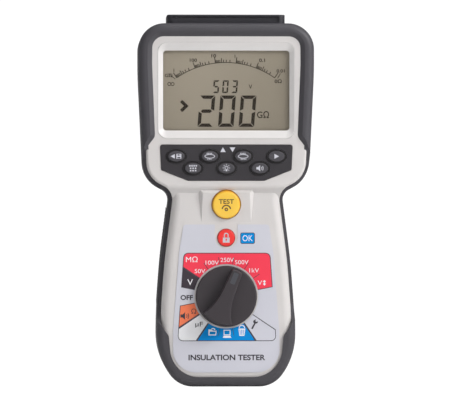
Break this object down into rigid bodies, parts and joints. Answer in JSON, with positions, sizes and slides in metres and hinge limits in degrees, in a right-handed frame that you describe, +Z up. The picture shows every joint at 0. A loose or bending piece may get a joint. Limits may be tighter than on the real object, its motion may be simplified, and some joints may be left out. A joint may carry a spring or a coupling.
{
  "type": "insulation resistance tester",
  "caption": "Handheld insulation resistance tester: display head on a waisted handle, with selector knob, push buttons and keys, in a rubber boot with a tilting stand.",
  "frame": {"origin": "on the flat base, below the middle of the bounding box", "axes": "+X right seen from the front, +Y to the back, +Z up along the instrument"},
  "size_m": [0.1076, 0.063, 0.228],
  "materials": {
    "boot_rubber": "matt moulded rubber",
    "case_plastic": "fine matt moulded plastic",
    "gasket_rubber": "matt",
    "steel": "zinc plated",
    "lens": "clear gloss",
    "lcd": "grey reflective display",
    "light_guide": "satin",
    "panel_dark": "satin",
    "key_rubber": "matt silicone",
    "test_yellow": "satin",
    "lock_red": "satin",
    "label_print": "printed film",
    "knob_plastic": "satin",
    "pointer_grey": "satin",
    "board_green": "solder mask",
    "chip_black": "matt",
    "relay_cream": "satin",
    "can_metal": "satin",
    "terminal_plastic": "fine matt",
    "contact_brass": "plated",
    "ring_red": "satin",
    "ring_black": "satin",
    "ring_blue": "satin",
    "fuse_ceramic": "glazed",
    "cell_jacket": "printed film"
  },
  "bodies": {
    "case": {"front_case": "case_plastic", "rear_case": "case_plastic", "boot": "boot_rubber", "case_gasket": "gasket_rubber", "case_screws": "steel", "lcd_window": "lens", "lcd_frame": "case_plastic", "lcd_module": "lcd", "backlight_plate": "light_guide", "zebra_strips": "gasket_rubber", "keypad_panel": "panel_dark", "keypad_mat": "key_rubber", "handle_label": "label_print", "test_switch": "chip_black", "lock_switch": "chip_black", "selector_seal": "gasket_rubber", "selector_stator": "contact_brass", "main_board": "board_green", "board_chips": "chip_black", "relays": "relay_cream", "capacitors": "can_metal", "buzzer": "chip_black", "transformer": "chip_black", "board_screws": "steel", "fuses": "fuse_ceramic", "fuse_clips": "contact_brass", "terminal_block": "terminal_plastic", "socket_positive": "contact_brass", "socket_probe": "contact_brass", "socket_negative": "contact_brass", "socket_ring_positive": "ring_red", "socket_ring_probe": "ring_blue", "socket_ring_negative": "ring_black", "batteries": "cell_jacket", "battery_contacts": "contact_brass", "battery_cover": "case_plastic", "battery_cover_seal": "gasket_rubber", "battery_cover_screws": "steel", "stand_pin": "steel"},
    "selector": {"selector_knob": "knob_plastic", "knob_pointer": "pointer_grey", "selector_shaft": "steel", "selector_rotor": "chip_black"},
    "test": {"test_button": "test_yellow"},
    "lock": {"lock_button": "lock_red"},
    "tilt_stand": {"stand": "terminal_plastic"},
    "key_memory_cap": {"key_memory": "key_rubber"},
    "key_left_oval_cap": {"key_left_oval": "key_rubber"},
    "key_right_oval_cap": {"key_right_oval": "key_rubber"},
    "key_next_cap": {"key_next": "key_rubber"},
    "key_timer_cap": {"key_timer": "key_rubber"},
    "key_backlight_cap": {"key_backlight": "key_rubber"},
    "key_buzzer_cap": {"key_buzzer": "key_rubber"}
  },
  "joints": [
    {"name": "selector_turn", "type": "hinge", "parent": "case", "child": "selector", "pos_m": [0, -0.0232, 0.0553], "axis": [0, 1, 0], "range_deg": [-247.5, 45]},
    {"name": "test_press", "type": "slide", "parent": "case", "child": "test", "axis": [0, 0.9895, 0.1448], "range_m": [0, 0.002], "stiffness_N_per_m": 700},
    {"name": "lock_press", "type": "slide", "parent": "case", "child": "lock", "axis": [0, 1, 0], "range_m": [0, 0.0015], "stiffness_N_per_m": 600},
    {"name": "stand_swing", "type": "hinge", "parent": "case", "child": "tilt_stand", "pos_m": [0, 0.029, 0.148], "axis": [1, 0, 0], "range_deg": [0, 45]},
    {"name": "key_memory_press", "type": "slide", "parent": "case", "child": "key_memory_cap", "axis": [0, 1, 0], "range_m": [0, 0.001], "stiffness_N_per_m": 400},
    {"name": "key_left_oval_press", "type": "slide", "parent": "case", "child": "key_left_oval_cap", "axis": [0, 1, 0], "range_m": [0, 0.001], "stiffness_N_per_m": 400},
    {"name": "key_right_oval_press", "type": "slide", "parent": "case", "child": "key_right_oval_cap", "axis": [0, 1, 0], "range_m": [0, 0.001], "stiffness_N_per_m": 400},
    {"name": "key_next_press", "type": "slide", "parent": "case", "child": "key_next_cap", "axis": [0, 1, 0], "range_m": [0, 0.001], "stiffness_N_per_m": 400},
    {"name": "key_timer_press", "type": "slide", "parent": "case", "child": "key_timer_cap", "axis": [0, 1, 0], "range_m": [0, 0.001], "stiffness_N_per_m": 400},
    {"name": "key_backlight_press", "type": "slide", "parent": "case", "child": "key_backlight_cap", "axis": [0, 1, 0], "range_m": [0, 0.001], "stiffness_N_per_m": 400},
    {"name": "key_buzzer_press", "type": "slide", "parent": "case", "child": "key_buzzer_cap", "axis": [0, 1, 0], "range_m": [0, 0.001], "stiffness_N_per_m": 400}
  ]
}
